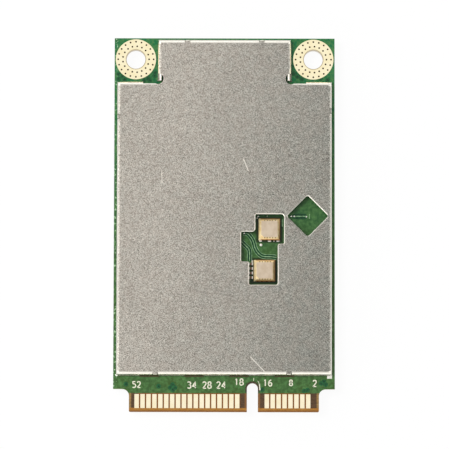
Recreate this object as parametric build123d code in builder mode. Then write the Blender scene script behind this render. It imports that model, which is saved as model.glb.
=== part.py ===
from build123d import *
import os

os.makedirs("parts", exist_ok=True)

# The card lies flat with the face of the even contacts up. X runs across it,
# Y from the contacts to the mounting holes. Z is 0 on the lower cover's flat face.

# Laminate board
card_width = 30.0
card_length = 50.95
board_thickness = 1.0
tongue_width = 25.7
tongue_length = 3.1
shoulder_radius = 0.95
tongue_chamfer = 0.1
edge_bevel = 0.2
key_width = 1.5
key_depth = 3.9
key_inset = 9.0

# Gold contacts, counted from the right side of the tongue
contact_pitch = 0.8
contact_width = 0.6
contact_length = 1.9
contact_setback = 0.5
copper_thickness = 0.05
even_contact_inset = 1.45
odd_contact_inset = 1.05
beside_key_count = 8
left_out_count = 4
past_key_count = 18

# Mounting holes with their ground lands
hole_inset = 2.9
hole_radius = 1.3
plating = 0.05
land_radius = 2.75
via_radius = 0.13
via_side_count = 5
via_depth = 0.04
outer_via_inset = 0.33
outer_via_count = 20
inner_via_offset = 0.49
inner_via_count = 17

# Sheet-metal covers
upper_shield_height = 1.2
lower_shield_height = 1.35
cover_sheet = 0.15
bend_radius = 0.55
skirt_gap = 0.3
side_margin = 0.42
connector_margin = 4.95
end_margin = 0.325
land_to_neck = 0.3
land_to_shoulder = 0.425
receptacle_strip = 6.9
tab_width = 0.75
tab_setback = 0.25
upper_top_tabs = (-5.05, 5.05)
upper_bottom_tabs = (-9.3, 8.8)
upper_side_tabs = ((-1, 14.6), (1, 15.4))
lower_tabs = (-6.5, 6.5)

# Soldered frames under the covers
frame_sheet = 0.15
frame_fit = 0.05
frame_corner = 0.3
flange_width = 1.0
web_width = 0.8
fence_to_window = 1.4
fence_to_diamond = 3.7
foot_gap = 2.6
foot_pitch = 6.1
foot_shift = -1.0
foot_lift = 0.25
solder_reach = 0.25
solder_height = 0.22
solder_slope = 0.8

# Round relief at each inner corner of the upper cover
relief_radius = 0.75
relief_up = 0.38
relief_slot_length = 2.05
relief_slot_depth = 0.28
frame_gap_low = 0.5
frame_gap_high = 0.18
frame_gap_inner = 0.6
flange_gap_outer = 0.45
flange_gap_inner = 0.85

# Band filters, and the windows that show them
filter_size = 2.9
filter_body_height = 0.8
filter_bevel = 0.28
filter_lid_size = 2.2
filter_lid_height = 0.2
filter_lid_corner = 0.35
castellation_width = 0.25
castellation_depth = 0.1
castellation_pitch = 0.62
castellation_count = 4
castellation_height = 0.45
filter_1_inset = 8.89
filter_1_y = -0.71
filter_2_inset = 9.545
filter_2_y = -6.34
window_gap = 0.55
window_lower_gap = 0.35
window_bottom_gap = 0.5
window_part_gap = 0.65
window_trace_width = 1.07
window_shelf_drop = 0.25
window_rise_drop = 0.39
window_left_gap = 0.45
window_radii = (0.2, 0.27, 0.4)
diamond_side = 4.0
diamond_corner = 0.3
diamond_inset = 3.7
diamond_y = 1.05
window_break = 0.13
relief_break = 0.06

# Chips under the covers
chip_margin = 0.8
chip_gap = 1.5
chip_edge = 0.08
carrier_height = 0.25
moulding_inset = 0.15
corner_mark = 0.8
processor_size = 12.0
processor_height = 0.85
memory_width = 10.5
memory_length = 8.0
memory_height = 0.85
power_chip_size = 6.5
power_chip_height = 0.8
transceiver_size = 7.0
transceiver_height = 0.8
oscillator_width = 2.5
oscillator_length = 2.0
oscillator_height = 0.75
switch_width = 3.0
switch_length = 2.5
switch_height = 0.7
receive_filter_width = 1.6
receive_filter_length = 2.0
receive_filter_height = 0.7
receive_filter_pitch = 2.8
amplifier_width = 4.0
amplifier_length = 5.0
amplifier_height = 0.9
amplifier_pitch = 7.6
duplexer_width = 2.5
duplexer_length = 2.0
duplexer_height = 0.9
duplexer_pitch = 4.6
inductor_size = 3.0
inductor_height = 1.0
inductor_corner = 0.4
inductor_pitch = 5.0
tantalum_width = 3.5
tantalum_length = 2.8
tantalum_height = 1.0
tantalum_pitch = 4.5
capacitor_length = 1.0
capacitor_width = 0.5
capacitor_height = 0.5
capacitor_pitch = 1.2
small_capacitor_length = 0.6
small_capacitor_width = 0.35
small_capacitor_height = 0.35
small_capacitor_pitch = 0.62
small_capacitor_gap = 0.1
terminal_share = 0.25
terminal_lip = 0.02

# Coaxial antenna receptacles on the lower face
receptacle_pitch = 5.6
receptacle_base = 2.6
receptacle_base_height = 0.35
receptacle_height = 1.25
shell_radius = 1.0
shell_wall = 0.18
shell_groove = 0.06
shell_flange = 0.12
shell_flange_length = 1.3
shell_leg = 0.2
centre_pin_radius = 0.25
centre_pin_drop = 0.2
centre_pin_bevel = 0.1
centre_tail_width = 0.4
centre_tail_height = 0.1
centre_tail_reach = 1.6

# Levels and faces
board_bottom = lower_shield_height
board_top = board_bottom + board_thickness
upper_face = Plane.XY.offset(board_top)
lower_face = Plane(origin=(0, 0, board_bottom), x_dir=(-1, 0, 0), z_dir=(0, 0, -1))

# Places on the card
connector_end = -card_length / 2
hole_end = card_length / 2
tongue_shoulder = connector_end + tongue_length
shoulder_width = (card_width - tongue_width) / 2
hole_x = card_width / 2 - hole_inset
hole_y = hole_end - hole_inset
hole_places = [(-hole_x, hole_y), (hole_x, hole_y)]
key_x = tongue_width / 2 - key_inset

# Outlines of the shields
cover_half = card_width / 2 - side_margin
cover_low = connector_end + connector_margin
neck_half = hole_x - land_radius - land_to_neck
neck_high = hole_end - end_margin
shoulder = hole_y - land_radius - land_to_shoulder
lower_high = hole_end - receptacle_strip
frame_inset = cover_sheet + frame_fit
frame_bend = bend_radius - frame_inset
flange_inset = frame_inset + flange_width

# The stepped window, set out from the two filters in it
filter_half = filter_size / 2
filter_1_x = card_width / 2 - filter_1_inset
filter_2_x = card_width / 2 - filter_2_inset
window_right = filter_1_x + filter_half + window_gap
window_top = filter_1_y + filter_half + window_gap
window_step = filter_1_y - filter_half - window_gap
window_neck_left = filter_1_x - filter_half - window_left_gap
window_rise = filter_1_y - window_rise_drop
window_low_right = filter_2_x + filter_half + window_lower_gap
window_low_left = filter_2_x - filter_half - window_part_gap
window_bottom = filter_2_y - filter_half - window_bottom_gap
window_shelf = filter_2_y + filter_half - window_shelf_drop
window_left = window_low_left - window_trace_width
diamond_x = card_width / 2 - diamond_inset

# Compartments inside the frames
fence_x = window_left - fence_to_window
fence_y = diamond_y + diamond_side / 2 ** 0.5 + fence_to_diamond
wall_half = cover_half - frame_inset - frame_sheet
field_low = cover_low + flange_inset
left_centre = (fence_x - frame_sheet / 2 - wall_half) / 2
right_centre = (fence_x + frame_sheet / 2 + wall_half) / 2
fence_low = fence_y - web_width / 2
radio_low = fence_y + web_width / 2


def keep(piece, name):
    """Label a finished piece and write its file."""
    piece.part.label = name
    export_step(piece.part, f"parts/{name}.step")


# The board: one outline with its contact tongue, key slot and holes
with BuildPart() as board:
    with BuildSketch(Plane.XY.offset(board_bottom)) as laminate:
        with Locations((0, (tongue_shoulder + hole_end) / 2)):
            Rectangle(card_width, hole_end - tongue_shoulder)
        with Locations((0, (connector_end + tongue_shoulder) / 2)):
            Rectangle(tongue_width, tongue_length)
        shoulder_corners = laminate.vertices().group_by(Axis.Y)[1]
        inner_corners = shoulder_corners.sort_by(lambda corner: abs(corner.X))[:2]
        fillet(inner_corners, min(shoulder_radius, shoulder_width / 2))
        chamfer(laminate.vertices().group_by(Axis.Y)[0], tongue_chamfer)
        with Locations((key_x, connector_end)):
            SlotOverall(2 * key_depth, key_width, rotation=90, mode=Mode.SUBTRACT)
        with Locations(hole_places):
            Circle(hole_radius + plating, mode=Mode.SUBTRACT)
    extrude(amount=board_thickness)
    chamfer(board.edges().filter_by(Axis.X).group_by(Axis.Y)[0], edge_bevel)
keep(board, "board")


def contact_fingers(level, first_inset):
    """One face's row of gold fingers, with the places left out that the key slot takes."""
    past_key = beside_key_count + left_out_count
    numbers = [*range(beside_key_count), *range(past_key, past_key + past_key_count)]
    first_x = tongue_width / 2 - first_inset
    finger_y = connector_end + contact_setback + contact_length / 2
    with BuildPart() as fingers:
        with BuildSketch(Plane.XY.offset(level)):
            with Locations([(first_x - contact_pitch * number, finger_y) for number in numbers]):
                Rectangle(contact_width, contact_length)
        extrude(amount=copper_thickness)
    return fingers


keep(contact_fingers(board_top, even_contact_inset), "contact_fingers_even")
keep(contact_fingers(board_bottom - copper_thickness, odd_contact_inset), "contact_fingers_odd")


def ground_land(place):
    """A gold ring on both faces, joined by the plated barrel, with two rings of plugged vias."""
    x, y = place
    low = board_bottom - copper_thickness
    high = board_top + copper_thickness
    section = Plane(origin=(x, y, 0), x_dir=(1, 0, 0), z_dir=(0, -1, 0))
    with BuildPart() as land:
        with BuildSketch(section):
            with Locations((hole_radius + plating / 2, (low + high) / 2)):
                Rectangle(plating, high - low)
            with Locations((hole_radius, low), (hole_radius, board_top)):
                Rectangle(land_radius - hole_radius, copper_thickness, align=(Align.MIN, Align.MIN))
        revolve(axis=Axis((x, y, 0), (0, 0, 1)))
        with BuildSketch(Plane(origin=(x, y, high))):
            with PolarLocations(land_radius - outer_via_inset, outer_via_count):
                RegularPolygon(via_radius, via_side_count)
            with PolarLocations(hole_radius + inner_via_offset, inner_via_count):
                RegularPolygon(via_radius, via_side_count)
        extrude(amount=-via_depth, mode=Mode.SUBTRACT)
    return land


keep(ground_land(hole_places[0]), "ground_land_left")
keep(ground_land(hole_places[1]), "ground_land_right")


def upper_field():
    """The T of the upper shield: a wide field, and a neck between the ground lands."""
    with Locations((0, (cover_low + shoulder) / 2)):
        Rectangle(2 * cover_half, shoulder - cover_low)
    with Locations((0, (shoulder + neck_high) / 2)):
        Rectangle(2 * neck_half, neck_high - shoulder)


def lower_field():
    """The lower shield's rectangle, which leaves a strip for the antenna receptacles."""
    with Locations((0, (cover_low + lower_high) / 2)):
        Rectangle(2 * cover_half, lower_high - cover_low)


def inset_outline(field, inset):
    """A shield's outline drawn in by inset, with its outer corners cut to clear the cover's."""
    with BuildSketch() as outline:
        field()
        offset(amount=-inset, kind=Kind.INTERSECTION)
        inner_x, inner_y = neck_half - inset, shoulder - inset
        chamfer(
            [
                corner
                for corner in outline.vertices()
                if abs(abs(corner.X) - inner_x) > inset or abs(corner.Y - inner_y) > inset
            ],
            frame_corner,
        )
    return outline.sketch


def form_cover(cover, face, field, height):
    """A folded pan: flat top, mitred bends all round, and a skirt that stops above the board."""
    outwards = Axis(face.origin, face.z_dir)
    with BuildSketch(face.offset(skirt_gap)) as blank:
        field()
    extrude(blank.sketch, amount=height - skirt_gap)
    fillet(cover.faces().sort_by(outwards)[-1].edges(), bend_radius)
    offset(amount=-cover_sheet, openings=cover.faces().sort_by(outwards)[0])


def carrier_tab(face, height, place, inward):
    """A gap in the skirt, where the flat top runs on as a short tab."""
    x, y = place
    across, along = inward
    tab_length = bend_radius - tab_setback
    tab_middle = (bend_radius + tab_setback) / 2
    with BuildSketch(face.offset(skirt_gap)) as gap:
        with Locations((x, y)):
            Rectangle(
                2 * bend_radius if across else tab_width,
                2 * bend_radius if along else tab_width,
            )
    extrude(gap.sketch, amount=height - skirt_gap, mode=Mode.SUBTRACT)
    with BuildSketch(face.offset(height - cover_sheet)) as tab:
        with Locations((x + across * tab_middle, y + along * tab_middle)):
            Rectangle(
                tab_length if across else tab_width,
                tab_length if along else tab_width,
            )
    extrude(tab.sketch, amount=cover_sheet)


def corner_relief(face, height, side):
    """The round hole at an inner corner of the T, with the skirt cut away beside it."""
    with BuildSketch(face.offset(skirt_gap)) as relief:
        with Locations((side * neck_half, shoulder + relief_up)):
            Circle(relief_radius)
        with Locations((side * (neck_half + relief_slot_length / 2), shoulder)):
            Rectangle(relief_slot_length, 2 * relief_slot_depth)
    extrude(relief.sketch, amount=height - skirt_gap, mode=Mode.SUBTRACT)
    with Locations((side * neck_half, shoulder + relief_up, board_top + height)):
        Cone(
            relief_radius,
            relief_radius + relief_break,
            relief_break,
            align=(Align.CENTER, Align.CENTER, Align.MAX),
            mode=Mode.SUBTRACT,
        )


def stepped_window():
    """The outline round both filters, each corner with a radius of its own."""
    points = [
        (window_neck_left, window_top),
        (window_right, window_top),
        (window_right, window_step),
        (window_low_right, window_step),
        (window_low_right, window_bottom),
        (window_low_left, window_bottom),
        (window_low_left, window_shelf),
        (window_left, window_shelf),
        (window_left, window_rise),
        (window_neck_left, window_rise),
    ]
    small, middle, large = window_radii
    radii = [small, large, small, middle, middle, small, small, small, small, large]
    with BuildLine() as outline:
        FilletPolyline(*points, radius=radii, close=True)
    make_face(outline.edges())


def diamond_window():
    """The square window, turned by an eighth."""
    with BuildSketch(mode=Mode.PRIVATE) as diamond:
        Rectangle(diamond_side, diamond_side)
        fillet(diamond.vertices(), diamond_corner)
    with Locations((diamond_x, diamond_y)):
        add(diamond.sketch, rotation=45)


with BuildPart() as upper_shield_cover:
    form_cover(upper_shield_cover, upper_face, upper_field, upper_shield_height)
    for tab_x in upper_top_tabs:
        carrier_tab(upper_face, upper_shield_height, (tab_x, neck_high), (0, -1))
    for tab_x in upper_bottom_tabs:
        carrier_tab(upper_face, upper_shield_height, (tab_x, cover_low), (0, 1))
    for side, tab_y in upper_side_tabs:
        carrier_tab(upper_face, upper_shield_height, (side * cover_half, tab_y), (-side, 0))
    for side in (-1, 1):
        corner_relief(upper_face, upper_shield_height, side)
    with BuildSketch(upper_face.offset(upper_shield_height)):
        stepped_window()
        diamond_window()
    extrude(amount=-cover_sheet, mode=Mode.SUBTRACT)
    flat_top = upper_shield_cover.faces().sort_by(Axis.Z)[-1]
    chamfer(flat_top.inner_wires().edges(), window_break)
keep(upper_shield_cover, "upper_shield_cover")

with BuildPart() as lower_shield_cover:
    form_cover(lower_shield_cover, lower_face, lower_field, lower_shield_height)
    for tab_x in lower_tabs:
        carrier_tab(lower_face, lower_shield_height, (tab_x, lower_high), (0, -1))
        carrier_tab(lower_face, lower_shield_height, (tab_x, cover_low), (0, 1))
    for side in (-1, 1):
        carrier_tab(lower_face, lower_shield_height, (side * cover_half, 0), (-side, 0))
keep(lower_shield_cover, "lower_shield_cover")


def foot_gaps(high, side_high):
    """The places where a frame's wall stays clear of the board between its feet."""
    reach = 2 * (frame_inset + frame_sheet + solder_reach)
    low_count = int((2 * cover_half - foot_gap) / foot_pitch)
    high_count = int((2 * neck_half - foot_gap) / foot_pitch)
    side_count = int((side_high - cover_low - foot_gap) / foot_pitch)
    with Locations((foot_shift, cover_low)):
        with GridLocations(foot_pitch, 0, low_count, 1):
            Rectangle(foot_gap, reach)
    with Locations((0, high)):
        with GridLocations(foot_pitch, 0, high_count, 1):
            Rectangle(foot_gap, reach)
    with Locations((0, (cover_low + side_high) / 2)):
        with GridLocations(2 * cover_half, foot_pitch, 2, side_count):
            Rectangle(reach, foot_gap)


def fences(width, mode):
    """The two inner walls that part the field into compartments, as strips of a width."""
    reach = cover_half - frame_inset - frame_sheet / 2
    floor = cover_low + frame_inset + frame_sheet / 2
    with Locations((0, fence_y)):
        Rectangle(2 * reach, width, mode=mode)
    with Locations((fence_x, (floor + fence_y) / 2)):
        Rectangle(width, fence_y - floor, mode=mode)


def open_corners(height):
    """Cuts the upper frame or its solder away under the relief at each inner corner."""
    gap_inner = neck_half - frame_gap_inner
    gap_outer = neck_half + relief_slot_length
    gap_y = shoulder + (frame_gap_high - frame_gap_low) / 2
    flange_x = neck_half - (flange_gap_outer + flange_gap_inner) / 2
    flange_length = frame_gap_low + relief_up + relief_radius
    with BuildSketch(upper_face) as gaps:
        with Locations([(side * (gap_inner + gap_outer) / 2, gap_y) for side in (-1, 1)]):
            Rectangle(gap_outer - gap_inner, frame_gap_low + frame_gap_high)
        with Locations([(side * flange_x, shoulder - frame_gap_low) for side in (-1, 1)]):
            Rectangle(
                flange_gap_inner - flange_gap_outer, flange_length, align=(Align.CENTER, Align.MIN)
            )
    extrude(gaps.sketch, amount=height, mode=Mode.SUBTRACT)


def shield_frame(face, field, height, high, side_high):
    """A frame inside its cover: wall, bend, flange, fences with a web, and feet."""
    outwards = Axis(face.origin, face.z_dir)
    tall = height - cover_sheet
    with BuildPart() as frame:
        with BuildSketch(face):
            add(inset_outline(field, frame_inset))
        extrude(amount=tall)
        chamfer(frame.faces().sort_by(outwards)[-1].edges(), frame_bend)
        offset(amount=-frame_sheet, openings=frame.faces().sort_by(outwards)[0])
        with BuildSketch(face.offset(tall)):
            add(inset_outline(field, flange_inset))
            fences(web_width, Mode.SUBTRACT)
        extrude(amount=-frame_sheet, mode=Mode.SUBTRACT)
        with BuildSketch(face):
            fences(frame_sheet, Mode.ADD)
        extrude(amount=tall - frame_sheet)
        with BuildSketch(face):
            foot_gaps(high, side_high)
        extrude(amount=foot_lift, mode=Mode.SUBTRACT)
        if field is upper_field:
            open_corners(tall)
            with BuildSketch(face.offset(tall)):
                diamond_window()
            extrude(amount=-2 * frame_sheet, mode=Mode.SUBTRACT)
    return frame


def shield_solder(face, field, high, side_high):
    """The solder outside a frame's feet: a sloping bead along each foot."""
    with BuildPart() as solder:
        with BuildSketch(face):
            add(inset_outline(field, frame_inset - solder_reach))
        extrude(amount=solder_height)
        top = solder.faces().sort_by(Axis(face.origin, face.z_dir))[-1]
        chamfer(top.edges(), solder_slope * solder_height, solder_slope * solder_reach)
        with BuildSketch(face):
            add(inset_outline(field, frame_inset))
            foot_gaps(high, side_high)
        extrude(amount=solder_height, mode=Mode.SUBTRACT)
        if field is upper_field:
            open_corners(solder_height)
    return solder


upper_shield = (upper_face, upper_field, upper_shield_height, neck_high, shoulder)
lower_shield = (lower_face, lower_field, lower_shield_height, lower_high, lower_high)
for side, (face, field, height, high, side_high) in (("upper", upper_shield), ("lower", lower_shield)):
    keep(shield_frame(face, field, height, high, side_high), f"{side}_shield_frame")
    keep(shield_solder(face, field, high, side_high), f"{side}_shield_solder")


def filter_body(x, y):
    """The ceramic body of a band filter, with plated recesses low in two of its sides."""
    with BuildPart() as body:
        with BuildSketch(upper_face):
            with Locations((x, y)):
                Rectangle(filter_size, filter_size)
        extrude(amount=filter_body_height)
        chamfer(body.faces().sort_by(Axis.Z)[-1].edges(), filter_bevel)
        with BuildSketch(upper_face):
            with Locations((x, y)):
                with GridLocations(castellation_pitch, filter_size, castellation_count, 2):
                    Rectangle(castellation_width, 2 * castellation_depth)
        extrude(amount=castellation_height, mode=Mode.SUBTRACT)
    return body


def filter_lid(x, y):
    """The metal lid on a band filter, with one corner cut as its mark."""
    with BuildPart() as lid:
        with BuildSketch(upper_face.offset(filter_body_height)) as plate:
            with Locations((x, y)):
                Rectangle(filter_lid_size, filter_lid_size)
            chamfer(plate.vertices().sort_by(lambda corner: corner.X + corner.Y)[0], filter_lid_corner)
        extrude(amount=filter_lid_height)
    return lid


for number, place in enumerate([(filter_1_x, filter_1_y), (filter_2_x, filter_2_y)], start=1):
    keep(filter_body(*place), f"band_filter_{number}_body")
    keep(filter_lid(*place), f"band_filter_{number}_lid")


def packages(face, places, width, length, height):
    """Small moulded packages on a face, each with a bevelled top."""
    outwards = Axis(face.origin, face.z_dir)
    with BuildPart() as group:
        with BuildSketch(face):
            with Locations(places):
                Rectangle(width, length)
        extrude(amount=height)
        chamfer(group.faces().group_by(outwards)[-1].edges(), chip_edge)
    return group


def large_chip(face, place, width, length, height):
    """A large package: a thin carrier board, and a moulding with its first corner cut."""
    with BuildPart() as chip:
        with BuildSketch(face):
            with Locations(place):
                Rectangle(width, length)
        extrude(amount=carrier_height)
        with BuildSketch(face.offset(carrier_height)) as moulding:
            with Locations(place):
                Rectangle(width - 2 * moulding_inset, length - 2 * moulding_inset)
            chamfer(moulding.vertices().sort_by(Axis.X)[:2].sort_by(Axis.Y)[-1], corner_mark)
        extrude(amount=height - carrier_height)
        chamfer(chip.faces().sort_by(Axis(face.origin, face.z_dir))[-1].edges(), chip_edge)
    return chip


def chip_capacitors(face, places, length, width, height):
    """Chip capacitors: a ceramic body between two slightly thicker metal ends."""
    ends = terminal_share * length
    with BuildPart() as group:
        with BuildSketch(face):
            with Locations(places):
                Rectangle(length, width - 2 * terminal_lip)
        extrude(amount=height - terminal_lip)
        with BuildSketch(face):
            with Locations(places):
                with GridLocations(length - ends, 0, 2, 1):
                    Rectangle(ends, width)
        extrude(amount=height)
    return group


def grid(centre, pitch_x, pitch_y, columns, rows):
    """The places of a grid of like parts round a centre."""
    x, y = centre
    return [
        (x + pitch_x * (column - (columns - 1) / 2), y + pitch_y * (row - (rows - 1) / 2))
        for column in range(columns)
        for row in range(rows)
    ]


def spread(low, high, sizes):
    """The centres of parts set one above another between two limits, with equal gaps."""
    gap = (high - low - sum(sizes)) / (len(sizes) + 1)
    return [
        low + gap * (place + 1) + sum(sizes[:place]) + size / 2
        for place, size in enumerate(sizes)
    ]


# Small parts beside the lower filter, seen through the window
small_capacitor_x = filter_2_x - filter_half - small_capacitor_gap - small_capacitor_length / 2
small_capacitor_places = grid((small_capacitor_x, filter_2_y), 0, small_capacitor_pitch, 1, 4)
window_capacitors = chip_capacitors(
    upper_face,
    small_capacitor_places,
    small_capacitor_length,
    small_capacitor_width,
    small_capacitor_height,
)
keep(window_capacitors, "window_capacitors")

# Upper face, left compartment: processor, memory and reference oscillator, from the contacts up
processor_y, memory_y, oscillator_y = spread(
    field_low, fence_low, (processor_size, memory_length, oscillator_length)
)
baseband_processor = large_chip(
    upper_face, (left_centre, processor_y), processor_size, processor_size, processor_height
)
keep(baseband_processor, "baseband_processor")
memory_chip = large_chip(
    upper_face, (left_centre, memory_y), memory_width, memory_length, memory_height
)
keep(memory_chip, "memory_chip")
reference_oscillator = packages(
    upper_face,
    [(left_centre, oscillator_y)],
    oscillator_width,
    oscillator_length,
    oscillator_height,
)
keep(reference_oscillator, "reference_oscillator")

# Upper face, right compartment below the filters
power_chip_y = field_low + chip_margin + power_chip_size / 2
power_management_chip = large_chip(
    upper_face,
    (right_centre, power_chip_y),
    power_chip_size,
    power_chip_size,
    power_chip_height,
)
keep(power_management_chip, "power_management_chip")

# Upper face, radio compartment: transceiver with its capacitors and filters, then the switch
transceiver_y, switch_y = spread(
    radio_low, neck_high - flange_inset, (transceiver_size, switch_length)
)
capacitor_x = transceiver_size / 2 + chip_gap + capacitor_length / 2
receive_filter_x = capacitor_x + capacitor_length / 2 + chip_gap + receive_filter_width / 2
rf_transceiver = large_chip(
    upper_face,
    (0, transceiver_y),
    transceiver_size,
    transceiver_size,
    transceiver_height,
)
keep(rf_transceiver, "rf_transceiver")
upper_capacitors = chip_capacitors(
    upper_face,
    grid((0, transceiver_y), 2 * capacitor_x, 0, 2, 1),
    capacitor_length,
    capacitor_width,
    capacitor_height,
)
keep(upper_capacitors, "upper_capacitors")
receive_filters = packages(
    upper_face,
    grid((0, transceiver_y), 2 * receive_filter_x, receive_filter_pitch, 2, 2),
    receive_filter_width,
    receive_filter_length,
    receive_filter_height,
)
keep(receive_filters, "receive_filters")
antenna_switch = packages(upper_face, [(0, switch_y)], switch_width, switch_length, switch_height)
keep(antenna_switch, "antenna_switch")

# Lower face, radio compartment: the duplexers, and the amplifiers above them
duplexer_y, amplifier_y = spread(
    radio_low, lower_high - flange_inset, (duplexer_length, amplifier_length)
)
power_amplifiers = packages(
    lower_face,
    grid((0, amplifier_y), amplifier_pitch, 0, 3, 1),
    amplifier_width,
    amplifier_length,
    amplifier_height,
)
keep(power_amplifiers, "power_amplifiers")
duplexers = packages(
    lower_face,
    grid((0, duplexer_y), duplexer_pitch, 0, 5, 1),
    duplexer_width,
    duplexer_length,
    duplexer_height,
)
keep(duplexers, "duplexers")

# Lower face, supply compartments: inductors on one side, capacitors on the other
inductor_y = field_low + chip_margin + inductor_pitch / 2 + inductor_size / 2
tantalum_y = field_low + chip_margin + tantalum_pitch + tantalum_length / 2
lower_capacitor_y = tantalum_y + tantalum_pitch + tantalum_length / 2 + chip_gap + capacitor_pitch
with BuildPart() as power_inductors:
    with BuildSketch(lower_face) as inductor_plan:
        with Locations(grid((right_centre, inductor_y), inductor_pitch, inductor_pitch, 2, 2)):
            Rectangle(inductor_size, inductor_size)
        chamfer(inductor_plan.vertices(), inductor_corner)
    extrude(amount=inductor_height)
keep(power_inductors, "power_inductors")
bulk_capacitors = chip_capacitors(
    lower_face,
    grid((left_centre, tantalum_y), 0, tantalum_pitch, 1, 3),
    tantalum_width,
    tantalum_length,
    tantalum_height,
)
keep(bulk_capacitors, "bulk_capacitors")
lower_capacitors = chip_capacitors(
    lower_face,
    grid((left_centre, lower_capacitor_y), 2 * capacitor_pitch, 0, 2, 1),
    capacitor_length,
    capacitor_width,
    capacitor_height,
)
keep(lower_capacitors, "lower_capacitors")


def receptacle_shell(x):
    """The outer contact: a grooved ring turned about its axis, on a flange with two legs."""
    low = receptacle_base_height
    bore = shell_radius - shell_wall
    high = receptacle_height
    middle = (low + shell_flange + high) / 2
    centre = lower_face.from_local_coords((x, hole_y, 0))
    section = Plane(origin=centre, x_dir=(-1, 0, 0), z_dir=(0, -1, 0))
    with BuildPart() as shell:
        with BuildSketch(lower_face):
            with Locations((x, hole_y)):
                with GridLocations(receptacle_base + shell_leg, 0, 2, 1):
                    Rectangle(shell_leg, shell_flange_length)
        extrude(amount=low)
        with BuildSketch(lower_face.offset(low)):
            with Locations((x, hole_y)):
                Rectangle(receptacle_base + 2 * shell_leg, shell_flange_length)
                Circle(shell_radius)
                Circle(bore, mode=Mode.SUBTRACT)
        extrude(amount=shell_flange)
        with BuildSketch(section):
            with BuildLine():
                Polyline(
                    (bore, low),
                    (shell_radius, low),
                    (shell_radius, middle - shell_groove),
                    (shell_radius - shell_groove, middle),
                    (shell_radius, middle + shell_groove),
                    (shell_radius, high),
                    (bore, high),
                    close=True,
                )
            make_face()
        revolve(axis=Axis(centre, (0, 0, 1)))
    return shell


def receptacle_insulator(x):
    """The square moulded base, with the hole and the groove that the centre pin lies in."""
    with BuildPart() as insulator:
        with BuildSketch(lower_face):
            with Locations((x, hole_y)):
                Rectangle(receptacle_base, receptacle_base)
                Circle(centre_pin_radius, mode=Mode.SUBTRACT)
        extrude(amount=receptacle_base_height)
        with BuildSketch(lower_face):
            with Locations((x, hole_y)):
                Rectangle(centre_tail_width, centre_tail_reach, align=(Align.CENTER, Align.MAX))
        extrude(amount=centre_tail_height, mode=Mode.SUBTRACT)
    return insulator


def receptacle_pin(x):
    """The centre pin with its bevelled tip, and the flat tail that is soldered to the board."""
    with BuildPart() as pin:
        with BuildSketch(lower_face):
            with Locations((x, hole_y)):
                Circle(centre_pin_radius)
        extrude(amount=receptacle_height - centre_pin_drop)
        chamfer(pin.edges().sort_by(Axis.Z)[0], centre_pin_bevel)
        with BuildSketch(lower_face):
            with Locations((x, hole_y)):
                Rectangle(centre_tail_width, centre_tail_reach, align=(Align.CENTER, Align.MAX))
        extrude(amount=centre_tail_height)
    return pin


antennas = (("main", receptacle_pitch), ("gnss", 0), ("diversity", -receptacle_pitch))
for antenna, antenna_x in antennas:
    keep(receptacle_shell(antenna_x), f"{antenna}_antenna_shell")
    keep(receptacle_insulator(antenna_x), f"{antenna}_antenna_insulator")
    keep(receptacle_pin(antenna_x), f"{antenna}_antenna_pin")
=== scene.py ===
import math
from functools import reduce

import bmesh
import bpy
import numpy as np
from mathutils import Matrix, Vector


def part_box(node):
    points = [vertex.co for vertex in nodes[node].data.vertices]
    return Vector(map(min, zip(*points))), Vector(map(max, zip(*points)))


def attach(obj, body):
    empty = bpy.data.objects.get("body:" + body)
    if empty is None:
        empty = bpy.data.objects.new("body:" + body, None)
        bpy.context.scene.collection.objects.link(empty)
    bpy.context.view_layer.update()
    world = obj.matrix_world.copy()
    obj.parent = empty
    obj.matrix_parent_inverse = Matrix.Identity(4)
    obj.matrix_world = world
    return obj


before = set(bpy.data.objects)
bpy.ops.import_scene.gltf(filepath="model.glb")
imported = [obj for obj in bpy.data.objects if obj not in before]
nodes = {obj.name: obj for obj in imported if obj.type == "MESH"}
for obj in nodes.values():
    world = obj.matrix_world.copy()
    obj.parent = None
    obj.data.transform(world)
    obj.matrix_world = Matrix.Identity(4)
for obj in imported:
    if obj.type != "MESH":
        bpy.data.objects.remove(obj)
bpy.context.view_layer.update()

MM = 0.001


def level(node, corner):
    """The lowest (0) or highest (1) point of a node above the resting surface, in millimetres."""
    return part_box(node)[corner].z / MM


def middle_and_half(node):
    """The middle of a node's box and half its size, in millimetres."""
    low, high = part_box(node)
    return (low + high) / 2 / MM, (high - low) / 2 / MM


# Places that finishes and pieces share, in millimetres: the faces of the board and the covers, the
# ends of the cover and the contact tongue, where the mask starts, and the key slot's round top
board_top = level("board", 1)
cover_top = level("upper_shield_cover", 1)
cover_bottom = level("lower_shield_cover", 0)
cover_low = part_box("upper_shield_cover")[0].y / MM
tongue_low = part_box("board")[0].y / MM
mask_low = tongue_low + 2.53
key_x = 3.85
key_radius = 0.75
key_top = tongue_low + 3.9
filter_bodies = ("band_filter_1_body", "band_filter_2_body")
ground_lands = ("ground_land_left", "ground_land_right")


# Shader nodes

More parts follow.
